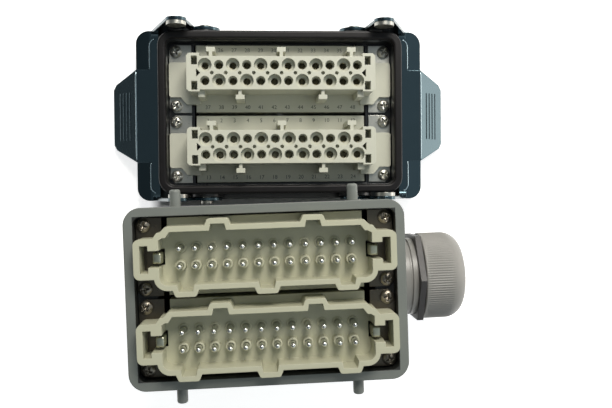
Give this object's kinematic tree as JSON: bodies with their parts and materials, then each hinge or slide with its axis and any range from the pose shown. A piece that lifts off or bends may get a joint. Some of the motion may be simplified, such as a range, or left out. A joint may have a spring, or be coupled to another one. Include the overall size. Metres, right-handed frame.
{
  "type": "heavy duty rectangular connector",
  "caption": "Rectangular multi-pole connector: bulkhead housing with female inserts and two locking levers, and side-entry hood with male inserts and a cable gland, lying beside it.",
  "frame": {"origin": "centre of the housing's four panel bolt holes, on the underside of its flange", "axes": "+Z out of the panel through the housing's mouth, +X along the housing's length, +Y away from the hood"},
  "size_m": [0.1727, 0.1744, 0.0848],
  "materials": {
    "black_enamel": "glossy enamel",
    "grey_powder_coat": "satin powder coat",
    "black_rubber": "matt",
    "polished_steel": "polished",
    "zinc_steel": "zinc plated",
    "pale_moulding": "satin",
    "pale_green_moulding": "satin",
    "silver_contact": "polished",
    "black_plastic": "matt",
    "grey_plastic": "satin",
    "light_grey_plastic": "satin"
  },
  "bodies": {
    "housing": {"housing_body": "black_enamel", "housing_seal": "black_rubber", "flange_seal": "black_rubber", "pivot_rivets": "zinc_steel", "female_base_rear": "pale_moulding", "female_base_front": "pale_moulding", "female_insert_rear": "pale_moulding", "female_insert_front": "pale_moulding", "female_contacts_rear": "silver_contact", "female_contacts_front": "silver_contact", "female_earth_plates_rear": "zinc_steel", "female_earth_plates_front": "zinc_steel", "female_screws_rear": "zinc_steel", "female_screws_front": "zinc_steel"},
    "left_lever": {"lever_left": "polished_steel", "lever_studs_left": "zinc_steel"},
    "right_lever": {"lever_right": "polished_steel", "lever_studs_right": "zinc_steel"},
    "hood": {"hood_body": "grey_powder_coat", "hood_pegs": "grey_powder_coat", "male_insert_rear": "pale_green_moulding", "male_insert_front": "pale_green_moulding", "male_pins_rear": "silver_contact", "male_pins_front": "silver_contact", "male_earth_plates_rear": "zinc_steel", "male_earth_plates_front": "zinc_steel", "male_screws_rear": "zinc_steel", "male_screws_front": "zinc_steel", "gland_sealing_ring": "black_rubber", "gland_collar": "light_grey_plastic", "gland_body": "black_plastic", "gland_locknut": "black_plastic", "gland_claws": "grey_plastic", "gland_seal_bush": "black_rubber"},
    "gland_cap": {"gland_cap": "grey_plastic"}
  },
  "joints": [
    {"name": "left_lever_hinge", "type": "hinge", "parent": "housing", "child": "left_lever", "pos_m": [-0.0377, 0, 0.0175], "axis": [0, 1, 0], "range_deg": [0, 30]},
    {"name": "right_lever_hinge", "type": "hinge", "parent": "housing", "child": "right_lever", "pos_m": [0.0377, 0, 0.0175], "axis": [0, -1, 0], "range_deg": [0, 30]},
    {"name": "hood_lift", "type": "slide", "parent": "housing", "child": "hood", "axis": [0, 0, 1], "range_m": [0, 0.15]},
    {"name": "gland_cap_turn", "type": "hinge", "parent": "hood", "child": "gland_cap", "pos_m": [-0.0078, -0.08265, 0.035], "axis": [0.9997, 0.0262, 0], "range_deg": [0, 360]}
  ]
}
